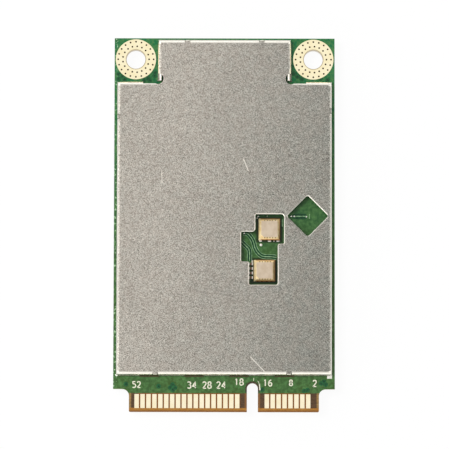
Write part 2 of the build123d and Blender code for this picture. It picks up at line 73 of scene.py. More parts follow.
class Value:
    """A number that varies over a surface. Python's arithmetic on it adds Math nodes."""

    def __init__(self, graph, socket):
        self.graph = graph
        self.socket = socket

    def maths(self, operation, *others):
        return self.graph.maths(operation, self, *others)

    def __add__(self, other):
        return self.maths("ADD", other)

    def __radd__(self, other):
        return self.maths("ADD", other)

    def __sub__(self, other):
        return self.maths("SUBTRACT", other)

    def __rsub__(self, other):
        return self.graph.maths("SUBTRACT", other, self)

    def __mul__(self, other):
        return self.maths("MULTIPLY", other)

    def __rmul__(self, other):
        return self.maths("MULTIPLY", other)

    def __pow__(self, other):
        return self.maths("POWER", other)

    def __abs__(self):
        return self.maths("ABSOLUTE")

    def least(self, other):
        return self.maths("MINIMUM", other)

    def most(self, other):
        return self.maths("MAXIMUM", other)

    def rises(self, low, high):
        """0 below low and 1 above high, with a smooth step between them."""
        settings = {"interpolation_type": "SMOOTHSTEP"}
        return self.graph.node("ShaderNodeMapRange", settings, {0: self, 1: low, 2: high})

    def falls(self, low, high):
        """1 below low and 0 above high, with a smooth step between them."""
        return 1 - self.rises(low, high)

    def between(self, low, high, edge):
        """1 between low and high and 0 outside, with smooth steps of a width."""
        return self.rises(low - edge, low + edge) * self.falls(high - edge, high + edge)


def tone(code):
    """A colour code of six hexadecimal digits as a linear colour."""
    parts = [int(code[place:place + 2], 16) / 255 for place in (0, 2, 4)]
    linear = [part / 12.92 if part <= 0.04045 else ((part + 0.055) / 1.055) ** 2.4 for part in parts]
    return (*linear, 1.0)


class Graph:
    """The node tree of a material or of the world."""

    def __init__(self, tree):
        self.tree = tree

    def node(self, kind, settings, values, output=0):
        """Adds a node: its settings first, then the values or links of its sockets."""
        made = self.tree.nodes.new(kind)
        for name, setting in settings.items():
            setattr(made, name, setting)
        for key, value in values.items():
            if isinstance(value, Value):
                self.tree.links.new(value.socket, made.inputs[key])
            else:
                made.inputs[key].default_value = value
        return Value(self, made.outputs[output])

    def maths(self, operation, *values):
        return self.node("ShaderNodeMath", {"operation": operation}, dict(enumerate(values)))

    def seen(self):
        """1 for rays from the camera, from gloss and through glass, and 0 for other light."""
        kinds = ("Camera", "Glossy", "Transmission")
        rays = [self.node("ShaderNodeLightPath", {}, {}, output=f"Is {kind} Ray") for kind in kinds]
        return reduce(Value.most, rays)

    def show(self, surface, output):
        """Links a shader to the tree's output node."""
        self.tree.links.new(surface.socket, self.tree.nodes[output].inputs["Surface"])


class Finish(Graph):
    """A material with one principled shader, and Object coordinates in millimetres."""

    def __init__(self, name, constants=None):
        self.material = bpy.data.materials.new(name)
        self.material.use_nodes = True
        super().__init__(self.material.node_tree)
        self.shader = self.tree.nodes["Principled BSDF"]
        for words, number in (constants or {}).items():
            self.shader.inputs[words].default_value = number
        place = self.node("ShaderNodeTexCoord", {}, {}, output="Object")
        self.place = self.node("ShaderNodeVectorMath", {"operation": "SCALE"}, {0: place, 3: 1 / MM})
        self.x, self.y, self.z = (
            self.node("ShaderNodeSeparateXYZ", {}, {0: self.place}, output=axis) for axis in range(3)
        )

    def mix(self, factor, first, second):
        """The first colour where the factor is 0 and the second where it is 1. Each is a value or a code."""
        first, second = (
            colour if isinstance(colour, Value) else tone(colour) for colour in (first, second)
        )
        return self.node("ShaderNodeMix", {"data_type": "RGBA"}, {0: factor, 6: first, 7: second}, output=2)

    def tones(self, pattern, dark, light, low=0.3, high=0.7):
        """Dark where a pattern is below low, light where it is above high, and a blend between."""
        return self.mix(pattern.rises(low, high), dark, light)

    def noise(self, per_mm, detail=2.0, shift=(0.0, 0.0, 0.0), stretch=(1.0, 1.0, 1.0)):
        """Soft random values round 0.5, with about per_mm grains to a millimetre."""
        moved = self.node(
            "ShaderNodeMapping", {}, {"Vector": self.place, "Location": shift, "Scale": stretch}
        )
        return self.node(
            "ShaderNodeTexNoise",
            {"noise_dimensions": "3D"},
            {"Vector": moved, "Scale": per_mm, "Detail": detail},
        )

    def cells(self, per_mm):
        """A random level from 0 to 1 for each of the small cells that fill the material."""
        spread = self.node(
            "ShaderNodeTexVoronoi",
            {"voronoi_dimensions": "3D", "feature": "F1"},
            {"Vector": self.place, "Scale": per_mm},
            output="Color",
        )
        return self.node("ShaderNodeSeparateXYZ", {}, {0: spread})

    def feed(self, words, value):
        self.tree.links.new(value.socket, self.shader.inputs[words])

    def bump(self, height, depth):
        """Relief from a height of 0 to 1, as deep as depth in millimetres."""
        values = {"Strength": 1.0, "Distance": depth * MM, "Height": height}
        self.feed("Normal", self.node("ShaderNodeBump", {}, values))


def dress(finish, *names):
    """Gives a finish to CAD nodes."""
    for name in names:
        nodes[name].data.materials.clear()
        nodes[name].data.materials.append(finish.material)


# Finishes

def segment_distance(finish, start, end):
    """How far a point lies from a straight line between two places, in millimetres."""
    run = (end[0] - start[0], end[1] - start[1])
    length = math.hypot(*run)
    along_x, along_y = run[0] / length, run[1] / length
    across = abs((finish.x - start[0]) * along_y - (finish.y - start[1]) * along_x)
    along = (finish.x - start[0]) * along_x + (finish.y - start[1]) * along_y
    past = abs(along - length / 2) - length / 2
    return across.most(past)


def tinned_sheet(finish, light, dark, grain, scratches):
    """The flat of a tinned sheet: fine grains and soft clouds, darker and greyer towards the right by
    painted shade, with warm patches, pale specks and a few thin scratches."""
    facets = finish.cells(15.0)
    cloud = finish.noise(0.2, detail=2.0)
    shade = (grain - 0.5) * 3.1 + (facets - 0.5) + (cloud - 0.5) * 0.15 + 0.5
    # Painted shade: the tones darken and grey towards the right and a little towards the front
    painted_falloff = (finish.x * 0.033 - finish.y * 0.005 + 0.3).most(0.0)
    deep = finish.mix(painted_falloff, dark, "383a36")
    pale = finish.mix(painted_falloff, light, "a8aaa1")
    sheet = finish.mix(shade, deep, pale)
    patch = finish.noise(0.9, detail=3.0).rises(0.35, 0.65)
    sheet = finish.mix(patch * 0.12, sheet, "a08a7c")
    speck = finish.cells(8.0).rises(0.93, 0.97) * facets.rises(0.4, 0.6)
    sheet = finish.mix(speck * 0.4, sheet, "e4ded2")
    if scratches:
        scratch = sum(
            segment_distance(finish, start, end).falls(width * 0.4, width)
            for start, end, width in scratches
        )
        sheet = finish.mix(scratch * 0.7, sheet, "fbf6ea")
    return sheet


def tinned_steel(name, light, dark, flat_levels, scratches):
    """Matt tinned sheet, smoother where it was formed over a bend, and lighter there by a painted highlight.
    The highlight covers the steep outer part of every bend, and at the cover's ends, shoulders and windows
    the whole bend."""
    window_low, window_high, window_reach = -10.0, 5.0, 14.0
    shoulder_low, shoulder_high, neck_reach = 18.8, 19.5, 9.1
    bend_width, outer_drop = 0.55, 0.165

    finish = Finish(name, {"Metallic": 1.0})
    grain = finish.noise(18.0, detail=1.0)
    sheet = tinned_sheet(finish, light, dark, grain, scratches)

    middle, half = middle_and_half("upper_shield_cover")
    from_ends = half.y - abs(finish.y - middle.y)
    windows = finish.y.between(window_low, window_high, 0.1)
    windows = windows * abs(finish.x).falls(window_reach - 0.02, window_reach + 0.02)
    shoulders = finish.y.between(shoulder_low, shoulder_high, 0.05)
    shoulders = shoulders * abs(finish.x).rises(neck_reach - 0.1, neck_reach + 0.1)
    whole_bend = from_ends.falls(bend_width, bend_width + 0.05).most(windows).most(shoulders)

    from_flat = reduce(Value.least, [abs(finish.z - flat) for flat in flat_levels])
    outer_bend = from_flat.rises(outer_drop - 0.01, outer_drop + 0.01)
    # The bends are smoother, and their base colour is lighter as a painted highlight, most on the steep
    # outer part
    smooth_and_highlit = outer_bend.most(whole_bend * from_flat.rises(0.0, 0.015))
    painted_highlight_tone = finish.mix(outer_bend, finish.tones(grain, "c8c4ba", "dad6cc"), "eae6dc")
    finish.feed("Base Color", finish.mix(smooth_and_highlit * 0.9, sheet, painted_highlight_tone))
    finish.feed("Roughness", 0.41 + (grain - 0.5) * 0.2 - smooth_and_highlit * 0.09 - outer_bend * 0.12)
    finish.bump(grain, 0.008)
    return finish


def green_mask(finish, mottle, weave):
    """Solder mask over copper: olive near the contacts and teal near the holes, mottled, with blots
    and pale flecks on the left border, and painted shade round the filters."""
    x, y = finish.x, finish.y
    cloud = finish.noise(0.35, detail=3.0)
    olive = finish.tones(cloud, "395626", "35582d")
    teal = finish.tones(cloud, "0e6236", "166840")
    green = finish.mix(y.rises(-10.0, 24.0), olive, teal)
    green = finish.mix((mottle - 0.5) * 2.4 + weave * 0.05 + 0.3, green, "527e46")

    left_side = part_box("board")[0].x / MM
    border = x.falls(left_side + 0.42, left_side + 0.5)
    blot = finish.noise(2.2, detail=2.0, shift=(4.0, 0.0, 0.0)).rises(0.5, 0.6)
    fleck = finish.noise(4.0, detail=1.0, shift=(0.0, 9.0, 0.0)).rises(0.6, 0.68)
    green = finish.mix(border * blot * 0.5, green, "2a5232")
    green = finish.mix(border * fleck * 0.7, green, "b4d6ac")

    # Painted shade: the mask darkens round each filter, as in the filter's shadow
    for name in filter_bodies:
        middle, half = middle_and_half(name)
        beyond = (abs(x - middle.x) - half.x).most(abs(y - middle.y) - half.y)
        green = finish.mix(beyond.falls(0.2, 0.5) * 0.9, green, "1c2a14")
    return green


def bare_tongue(finish, from_key):
    """Bare board at the contacts: brown and fibrous, amber between the fingers, tan at both
    sides, reddish along the key slot, and ochre at the end, which darkens towards its edge."""
    tongue_inset = 2.15
    x, y = finish.x, finish.y
    finger_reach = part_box("contact_fingers_even")[1].x / MM
    tongue_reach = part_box("board")[1].x / MM - tongue_inset
    fibre = finish.noise(5.0, detail=3.0, stretch=(0.25, 1.0, 1.0))
    key_side = abs(x - key_x) - key_radius
    between_fingers = abs(x).falls(finger_reach - 0.1, finger_reach) * key_side.rises(0.85, 0.95)
    brown = finish.mix(between_fingers, finish.tones(fibre, "483827", "59432f"), "7a4c20")
    tan = finish.tones(fibre, "7e6743", "a07f4c")
    side_gap = tongue_reach - abs(x)
    bare = finish.mix(side_gap.falls(0.24, 0.36), brown, tan)
    bare = finish.mix(from_key.falls(0.24, 0.34), bare, "7a5634")
    end = finish.tones(fibre, "96652a", "a87838")
    end = finish.mix(y.falls(tongue_low + 0.1, tongue_low + 0.35) * 0.6, end, "6e4420")
    return finish.mix(y.falls(tongue_low + 0.5, tongue_low + 0.56), bare, end)


def board_finish():
    """Green mask on both faces, bare board at the contacts, and cut board at the sides."""
    finish = Finish("board_green_mask", {"Coat Roughness": 0.12, "Specular IOR Level": 0.2})
    x, y, z = finish.x, finish.y, finish.z
    weave_pitch = 0.62
    weave_x, weave_y = (finish.maths("SINE", axis * (2 * math.pi / weave_pitch)) for axis in (x, y))
    weave = weave_x * weave_y
    mottle = finish.noise(2.4, detail=2.0)

    above_arch = (y - (key_top - key_radius)).most(0.0)
    from_key = ((x - key_x) ** 2 + above_arch ** 2) ** 0.5 - key_radius

    green = green_mask(finish, mottle, weave)
    skin = finish.mix(y.falls(mask_low - 0.04, mask_low + 0.04), green, bare_tongue(finish, from_key))
    arch = from_key.falls(0.14, 0.3) * y.rises(mask_low - 0.1, mask_low + 0.4)
    skin = finish.mix(arch, skin, finish.tones(finish.noise(3.0), "33291f", "463627", 0.4, 0.6))

    cut = finish.tones(finish.noise(6.0, stretch=(0.3, 0.3, 3.0)), "8d8650", "b5aa72")
    edge = z.between(level("board", 0) + 0.03, board_top - 0.03, 0.01)
    bevel = y.falls(tongue_low + 0.19, tongue_low + 0.21)
    masked = y.rises(mask_low - 0.04, mask_low + 0.04) * (1 - edge)
    finish.feed("Base Color", finish.mix(edge * (1 - bevel), skin, cut))
    finish.feed("Coat Weight", masked * 0.1)
    finish.feed("Roughness", 0.55 - masked * 0.15)
    finish.bump(mottle * 0.6 + weave * 0.1 + finish.noise(9.0) * 0.2, 0.012)
    return finish


def mask_finish(name, light, dark, gloss):
    """Solder mask that runs over a raised or sunken track, with a gloss."""
    settings = {"Coat Weight": gloss, "Coat Roughness": 0.2, "Roughness": 0.4, "Specular IOR Level": 0.2}
    finish = Finish(name, settings)
    finish.feed("Base Color", finish.tones(finish.noise(3.0), dark, light, 0.35, 0.65))
    finish.bump(finish.noise(7.0), 0.006)
    return finish


def gold_finish(name, light, dark):
    """Plated gold with soft clouds and a faint grain."""
    finish = Finish(name, {"Metallic": 1.0})
    cloud = finish.noise(0.9, detail=2.0)
    grain = finish.noise(8.0, detail=2.0)
    finish.feed("Base Color", finish.tones(cloud, dark, light))
    finish.feed("Roughness", 0.24 + (grain - 0.5) * 0.08)
    finish.bump(grain, 0.0015)
    return finish


def land_finish():
    """Gold of the ground lands, duller on the rim of the hole and down the barrel."""
    barrel_reach = 1.35
    finish = Finish("ground_land_gold", {"Metallic": 1.0})
    cloud = finish.noise(0.9, detail=2.0)
    grain = finish.noise(8.0, detail=2.0)
    centres = [middle_and_half(name)[0] for name in ground_lands]
    reaches = [((finish.x - centre.x) ** 2 + (finish.y - centre.y) ** 2) ** 0.5 for centre in centres]
    on_rim = reduce(Value.least, reaches).falls(barrel_reach, barrel_reach + 0.08)
    plated = finish.tones(cloud, "f9ecc2", "fcf2ce")
    dull = finish.tones(grain, "a8987c", "c8b894")
    finish.feed("Base Color", finish.mix(on_rim, plated, dull))
    finish.feed("Roughness", 0.26 + (grain - 0.5) * 0.08)
    finish.bump(grain, 0.0015)
    return finish


def solder_finish(name, light, dark):
    """Tin with small dimples."""
    finish = Finish(name, {"Metallic": 1.0})
    dimple = finish.noise(5.0, detail=2.0)
    finish.feed("Base Color", finish.tones(dimple, dark, light))
    finish.feed("Roughness", 0.36 + dimple * 0.2)
    finish.bump(dimple, 0.02)
    return finish


def filter_body_finish():
    """Gilded ceramic: tan, with an amber rim of gilt sides and painted shade on all sides but the left,
    which faces the light, and a row of dark plated marks along two edges of its top."""
    mark_inset, mark_pitch = 0.27, 0.36
    finish = Finish("filter_body_gilt", {"Metallic": 0.35})
    gilding = finish.tones(finish.noise(2.0), "e6c88c", "f3e0b2")
    marks = []
    for name in filter_bodies:
        middle, half = middle_and_half(name)
        from_middle = finish.x - middle.x
        across = abs(from_middle)
        along = abs(finish.y - middle.y)
        row = abs(along - (half.x - mark_inset)).falls(0.05, 0.08)
        wave = finish.maths("SINE", from_middle * (2 * math.pi / mark_pitch))
        marks.append(row * wave.rises(0.0, 0.5) * across.falls(0.85, 0.95))
        # Painted shade: the rim darkens to amber, but not on the left side, which faces the light
        inside = half.x - across.most(along)
        rim = inside.falls(0.06, 0.16) * inside.rises(-0.1, -0.02)
        away_from_light = (from_middle + half.x).rises(0.2, 0.4)
        gilding = finish.mix(rim * away_from_light * 0.85, gilding, "b06e2a")
    finish.feed("Base Color", finish.mix(sum(marks) * 0.8, gilding, "5a3a1c"))
    finish.feed("Roughness", 0.3 + finish.noise(5.0) * 0.15)
    finish.bump(finish.noise(6.0), 0.01)
    return finish


def filter_lid_finish():
    """Brushed nickel lid, faintly pink, with soft clouds."""
    finish = Finish("filter_lid_nickel", {"Metallic": 0.85})
    cloud = finish.noise(1.4, detail=3.0)
    grain = finish.noise(8.0, detail=2.0)
    finish.feed("Base Color", finish.tones(cloud, "c5b29a", "cfbea8", 0.35, 0.65))
    finish.feed("Roughness", 0.34 + (grain - 0.5) * 0.2)
    finish.bump(grain, 0.006)
    return finish


def moulding_finish():
    """Black moulded epoxy with a fine matt grain."""
    finish = Finish("moulded_epoxy")
    grain = finish.noise(9.0, detail=3.0)
    finish.feed("Base Color", finish.tones(grain, "1d1d1f", "2c2c2f"))
    finish.feed("Roughness", 0.55 + grain * 0.2)
    finish.bump(grain, 0.008)
    return finish


def capacitor_finish(name, *rows):
    """Chip capacitors: brown ceramic between tinned ends. A row is a node, how many chips stand
    side by side in its box, and the length of one."""
    finish = Finish(name)
    grain = finish.noise(7.0, detail=2.0)
    ends = 0.0
    for node, chips, length in rows:
        low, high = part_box(node)
        for centre in np.linspace(low.x / MM + length / 2, high.x / MM - length / 2, chips):
            ends = ends + abs(finish.x - centre).between(length / 4, length / 2 + 0.02, 0.01)
    body = finish.tones(grain, "6d5238", "8a6c4c")
    finish.feed("Base Color", finish.mix(ends, body, "cfccc4"))
    finish.feed("Metallic", ends * 0.9)
    finish.feed("Roughness", 0.45 - ends * 0.12)
    finish.bump(grain, 0.006)
    return finish


def ceramic_finish(name, light, dark, shine=0.5):
    """Plain fired ceramic, ferrite or resin with a fine grain."""
    finish = Finish(name, {"Specular IOR Level": shine})
    grain = finish.noise(6.0, detail=3.0)
    finish.feed("Base Color", finish.tones(grain, dark, light))
    finish.feed("Roughness", 0.5 + grain * 0.15)
    finish.bump(grain, 0.008)
    return finish


def print_finish():
    """White legend ink, slightly uneven."""
    finish = Finish("legend_ink")
    patch = finish.noise(5.0, detail=2.0)
    finish.feed("Base Color", finish.tones(patch, "dfdcc6", "f1eeda", 0.35, 0.65))
    finish.feed("Roughness", 0.5 + patch * 0.15)
    finish.bump(patch, 0.004)
    return finish


# Each scratch is its start, its end and its width
cover_scratches = [
    ((3.59, -18.11), (5.44, -20.03), 0.07),
    ((2.61, 8.73), (3.24, 7.23), 0.07),
    ((-8.52, 7.12), (-8.45, 5.49), 0.06),
]
upper_sheet = tinned_steel("shield_sheet_upper", "e1dbd0", "605c54", [cover_top], cover_scratches)
lower_sheet = tinned_steel("shield_sheet_lower", "e1dbd0", "605c54", [cover_bottom], [])
frame_sheet = tinned_steel("frame_sheet", "bfbab1", "8a867e", [cover_top, cover_bottom], [])
gold = gold_finish("contact_gold", "fdf3d5", "f9ecc8")
receptacle_gold = gold_finish("receptacle_gold", "f3d98f", "dcb968")
solder = solder_finish("tin_solder", "fbf9f2", "e0ddd4")
# Painted shade: the solder under the covers' skirts is the tin darkened to grey, as in the skirts' shadow
shield_solder = solder_finish("shield_solder", "8f8a7e", "5d594f")
gilt = filter_body_finish()
lid = filter_lid_finish()
epoxy = moulding_finish()
ferrite = ceramic_finish("inductor_ferrite", "3b3b3d", "29292b")
filter_ceramic = ceramic_finish("small_filter_ceramic", "c9a26a", "a98350")
insulator = ceramic_finish("receptacle_moulding", "ece8da", "dcd6c4")
ink = print_finish()
# Mask over the tracks: lighter green over the copper, made paler still by a painted highlight
mask_ridge_highlit = mask_finish("mask_over_track", "9cc294", "6c9a68", 1.0)
mask_sunk = mask_finish("mask_in_clearance", "1d4a2c", "143a22", 0.05)
mask_pad = mask_finish("mask_over_via_pad", "235f36", "1b4c2c", 0.1)
# Painted shade: dark olive-brown for the strips in front of the frame's foot gaps
strip_shade = ceramic_finish("painted_gap_shade_strip", "4a4222", "33300f")
resin = ceramic_finish("via_resin", "34200c", "221405", shine=0.05)
small_capacitor = capacitor_finish(
    "small_capacitors",
    ("window_capacitors", 1, 0.6),
    ("upper_capacitors", 2, 1.0),
    ("lower_capacitors", 2, 1.0),
)
bulk_capacitor = capacitor_finish("bulk_capacitor", ("bulk_capacitors", 1, 3.5))

dress(board_finish(), "board")
dress(upper_sheet, "upper_shield_cover")
dress(lower_sheet, "lower_shield_cover")
dress(frame_sheet, "upper_shield_frame", "lower_shield_frame")
dress(shield_solder, "upper_shield_solder", "lower_shield_solder")
dress(gold, "contact_fingers_even", "contact_fingers_odd")
dress(land_finish(), *ground_lands)
dress(gilt, *filter_bodies)
dress(lid, "band_filter_1_lid", "band_filter_2_lid", "reference_oscillator")
dress(epoxy, "baseband_processor", "memory_chip", "power_management_chip", "rf_transceiver")
dress(epoxy, "antenna_switch", "power_amplifiers")
dress(ferrite, "power_inductors")
dress(filter_ceramic, "receive_filters", "duplexers")
dress(small_capacitor, "window_capacitors", "upper_capacitors", "lower_capacitors")
dress(bulk_capacitor, "bulk_capacitors")
for antenna in ("main", "gnss", "diversity"):
    dress(receptacle_gold, f"{antenna}_antenna_shell", f"{antenna}_antenna_pin")
    dress(insulator, f"{antenna}_antenna_insulator")


# Lines and solids. A solid is its points and a list of arrays of faces.

def curve_through(points, per_span=8):
    """A smooth line through points. Each span is the cubic that meets its two points, with a slope
    at each of them that is half the step from the point before it to the point after it."""
    knots = np.array(points, float)
    first, last = 2 * knots[0] - knots[1], 2 * knots[-1] - knots[-2]
    knots = np.vstack([first, knots, last])
    t = np.linspace(0, 1, per_span, endpoint=False)[None, :, None]
    a, b, c, d = (knots[place:len(knots) - 3 + place][:, None, :] for place in range(4))
    spans = (
        2 * b + (c - a) * t + (2 * a - 5 * b + 4 * c - d) * t ** 2 + (3 * b - a - 3 * c + d) * t ** 3
    ) / 2
    return np.vstack([spans.reshape(-1, 2), knots[-2]])


def straight_through(points, step=0.12):
    """The line through points with straight spans, cut into short steps."""
    pieces = []
    for start, end in zip(points[:-1], points[1:]):
        count = max(2, int(math.dist(start, end) / step))
        pieces.append(np.linspace(start, end, count, endpoint=False))
    return np.vstack([*pieces, points[-1]])


def beside(line, distance):
    """A line moved to its left by a distance, along its own normals."""
    aim = np.gradient(line, axis=0)
    aim /= np.hypot(*aim.T)[:, None]
    return line + distance * np.stack([-aim[:, 1], aim[:, 0]], axis=1)


def bar(line, width, floor, height, dome=False):
    """A closed bar along a line. Its half width is that of a round end near both ends, the
    square root of r squared minus the square of the distance to the end's centre, and its
    section is flat-topped, or half an ellipse for a dome."""
    line = np.asarray(line, float)
    steps = np.hypot(*np.diff(line, axis=0).T)
    along = np.concatenate([[0], np.cumsum(steps)])
    r = width / 2
    caps = r * (1 - np.cos(np.linspace(0, math.pi / 2, 5)))
    at = np.unique(np.concatenate([along, caps, along[-1] - caps]).clip(0, along[-1]))
    path = np.stack([np.interp(at, along, line[:, axis]) for axis in range(2)], axis=1)
    aim = np.gradient(path, axis=0)
    aim /= np.maximum(np.hypot(*aim.T), 1e-9)[:, None]
    side = np.stack([-aim[:, 1], aim[:, 0]], axis=1)
    to_end = np.minimum(at, along[-1] - at).clip(0, r)
    swell = np.sqrt(np.maximum(r ** 2 - (r - to_end) ** 2, 0)) / r
    if dome:
        angle = np.linspace(0, math.pi, 9)
        across, up = np.cos(angle), np.sin(angle)
        rise = swell
    else:
        across, up = np.array([1, 1, -1, -1.0]), np.array([0, 1, 1, 0.0])
        rise = np.ones_like(swell)
    xy = path[:, None, :] + side[:, None, :] * (across[None, :, None] * (swell * r)[:, None, None])
    z = floor + height * up[None, :] * rise[:, None]
    points = np.concatenate([xy, z[..., None]], axis=2)
    index = np.arange(z.size).reshape(z.shape)
    around = np.roll(index, -1, axis=1)
    faces = np.stack([index[:-1], index[1:], around[1:], around[:-1]], axis=-1).reshape(-1, 4)
    return points.reshape(-1, 3), [faces]


def block(left, right, front, back, floor, height):
    """A flat block given by its sides: the corners of its bottom, then of its top, which lies
    higher by the height. Its faces are the bottom, the top and the four walls between."""
    outline = np.array([(left, front), (right, front), (right, back), (left, back)], float)
    points = np.vstack([np.column_stack([outline, np.full(4, z)]) for z in (floor, floor + height)])
    here = np.arange(4)
    after = np.roll(here, -1)
    walls = np.stack([here, after, after + 4, here + 4], axis=1)
    return points, [here[None, ::-1], here[None] + 4, walls]


def drop(centre, radius, floor, height):
    """A dome: rings at angles from the rim to the top, where the radius is the cosine of the
    angle and the height is its sine."""
    turn = np.linspace(0, 2 * math.pi, 16, endpoint=False)
    tilt = np.linspace(0, math.pi / 2, 5)[:-1]
    ring = np.stack([np.cos(turn), np.sin(turn)], axis=1)
    xy = np.array(centre) + radius * np.cos(tilt)[:, None, None] * ring[None]
    z = np.broadcast_to((floor + height * np.sin(tilt))[:, None, None], (len(tilt), len(turn), 1))
    points = np.concatenate([xy, z], axis=2).reshape(-1, 3)
    points = np.vstack([points, [*centre, floor + height]])
    index = np.arange(len(tilt) * len(turn)).reshape(len(tilt), len(turn))
    around = np.roll(index, -1, axis=1)
    sides = np.stack([index[:-1], around[:-1], around[1:], index[1:]], axis=-1).reshape(-1, 4)
    crown = np.stack([index[-1], around[-1], np.full(len(turn), len(points) - 1)], axis=1)
    return points, [sides, crown, index[:1, ::-1]]


def clean(mesh):
    """Merges doubled points, drops faces without area and turns every face outwards."""
    work = bmesh.new()
    work.from_mesh(mesh)
    bmesh.ops.remove_doubles(work, verts=work.verts, dist=1e-7)
    bmesh.ops.dissolve_degenerate(work, edges=work.edges, dist=1e-8)
    bmesh.ops.recalc_face_normals(work, faces=work.faces)
    work.to_mesh(mesh)
    work.free()


def make(name, solids, finish, smooth=False):
    """Joins solids into one object in metres, which rides on the card."""
    faces = []
    start = 0
    for points, blocks in solids:
        for block in blocks:
            faces += (block + start).tolist()
        start += len(points)
    mesh = bpy.data.meshes.new(name)
    mesh.from_pydata((np.vstack([points for points, blocks in solids]) * MM).tolist(), [], faces)
    mesh.validate()
    clean(mesh)
    mesh.materials.append(finish.material)
    mesh.polygons.foreach_set("use_smooth", [smooth] * len(mesh.polygons))
    piece = bpy.data.objects.new(name, mesh)
    bpy.context.scene.collection.objects.link(piece)
    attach(piece, "root")


# Pin numbers in legend ink. Each digit is strokes in a box 0.6 wide and 1 high.
DIGITS = {
    "1": [(straight_through, [(0.14, 0.84), (0.32, 1.0), (0.32, 0.0)])],
    "2": [
        (curve_through, [(0.04, 0.8), (0.14, 0.96), (0.32, 1.0), (0.5, 0.92), (0.55, 0.74), (0.42, 0.46),
                         (0.04, 0.0)]),
        (straight_through, [(0.04, 0.0), (0.58, 0.0)]),
    ],
    "3": [
        (curve_through, [(0.04, 0.92), (0.3, 1.0), (0.54, 0.84), (0.48, 0.62), (0.26, 0.54)]),
        (curve_through, [(0.26, 0.54), (0.52, 0.44), (0.56, 0.18), (0.32, 0.0), (0.03, 0.09)]),
    ],
    "4": [(straight_through, [(0.46, 0.0), (0.46, 1.0), (0.03, 0.3), (0.6, 0.3)])],
    "5": [
        (straight_through, [(0.54, 1.0), (0.12, 1.0), (0.08, 0.6)]),
        (curve_through, [(0.08, 0.6), (0.3, 0.64), (0.53, 0.5), (0.55, 0.2), (0.32, 0.0), (0.04, 0.08)]),
    ],
    "6": [
        (curve_through, [(0.5, 0.98), (0.22, 0.86), (0.06, 0.52), (0.07, 0.18), (0.3, 0.0), (0.53, 0.14),
                         (0.53, 0.42), (0.32, 0.56), (0.08, 0.4)]),
    ],
    "8": [
        (curve_through, [(0.3, 0.54), (0.1, 0.66), (0.1, 0.9), (0.3, 1.0), (0.5, 0.9), (0.5, 0.66),
                         (0.3, 0.54)]),
        (curve_through, [(0.3, 0.54), (0.06, 0.38), (0.06, 0.12), (0.3, 0.0), (0.54, 0.12), (0.54, 0.38),
                         (0.3, 0.54)]),
    ],
}
digit_pitch = 0.8
ink_height = 0.015
ink_width = 0.15


def pin_number(text, left, base, height):
    """The strokes of a number, digit beside digit, with its lower left corner at a place."""
    strokes = []
    for place, digit in enumerate(text):
        for through, points in DIGITS[digit]:
            line = through(points) * height + (left + place * digit_pitch * height, base)
            strokes.append(bar(line, ink_width, board_top, ink_height))
    return strokes


# Text, left side, base and height
pin_numbers = [
    ("52", -12.4, -22.2, 0.8),
    ("34", -4.97, -22.28, 0.86),
    ("28", -2.9, -22.28, 0.86),
    ("24", -1.0, -22.28, 0.86),
    ("18", 1.45, -21.84, 0.84),
    ("16", 5.33, -21.96, 0.84),
    ("8", 8.84, -21.9, 0.76),
    ("2", 12.02, -22.02, 0.84),
]
strokes = [stroke for number in pin_numbers for stroke in pin_number(*number)]
# Short lines of the same ink by the key slot: width and points
legend_lines = [
    (0.07, [(4.02, -20.88), (4.02, -21.28)]),
    (0.07, [(4.58, -21.3), (4.7, -21.46), (4.78, -21.7)]),
    (0.14, [(4.79, -21.62), (4.87, -22.55)]),
]
strokes += [bar(straight_through(line), width, board_top, ink_height) for width, line in legend_lines]
make("pin_numbers", strokes, ink)

# Radio tracks in the windows. A curved one runs in the middle of a dark clearance, with the raised
# edge of the copper at both sides. The straight ones stand alone, but for a clearance under one.
clearance_height = 0.006
clearance_width = 0.56
track_width = 0.12
track_height = 0.05
edge_width = 0.07
edge_height = 0.035
edge_offset = clearance_width / 2 + 0.02
curved_tracks = [
    curve_through([
        (2.6, -1.2), (3.05, -1.22), (3.45, -1.55), (3.85, -2.12), (4.05, -2.7), (4.18, -3.2),
        (4.47, -3.74), (4.91, -4.19), (5.45, -4.39), (6.33, -4.42), (7.1, -4.5),
    ]),
    curve_through([
        (2.3, -2.3), (2.66, -2.68), (3.02, -3.02), (3.32, -3.35), (3.44, -3.8), (3.44, -4.4), (3.44, -5.05),
    ]),
]
# Ends, width and height
straight_tracks = [
    ([(9.5, 1.11), (11.16, 1.11)], 0.12, 0.04),
    ([(11.57, 0.78), (11.57, 1.4)], 0.12, 0.05),
    ([(7.89, -0.3), (7.89, 0.7)], 0.1, 0.04),
]
sunk, ridges = [], []
for line in curved_tracks:
    sunk.append(bar(line, clearance_width, board_top, clearance_height))
    ridges.append(bar(line, track_width, board_top, track_height, dome=True))
    for offset in (edge_offset, -edge_offset):
        ridges.append(bar(beside(line, offset), edge_width, board_top, edge_height, dome=True))
sunk.append(bar(straight_through([(9.2, 1.09), (11.25, 1.09)]), 0.76, board_top, clearance_height))
ridges += [
    bar(straight_through(ends), width, board_top, height, dome=True)
    for ends, width, height in straight_tracks
]
make("track_clearances", sunk, mask_sunk)
make("masked_tracks", ridges, mask_ridge_highlit, smooth=True)

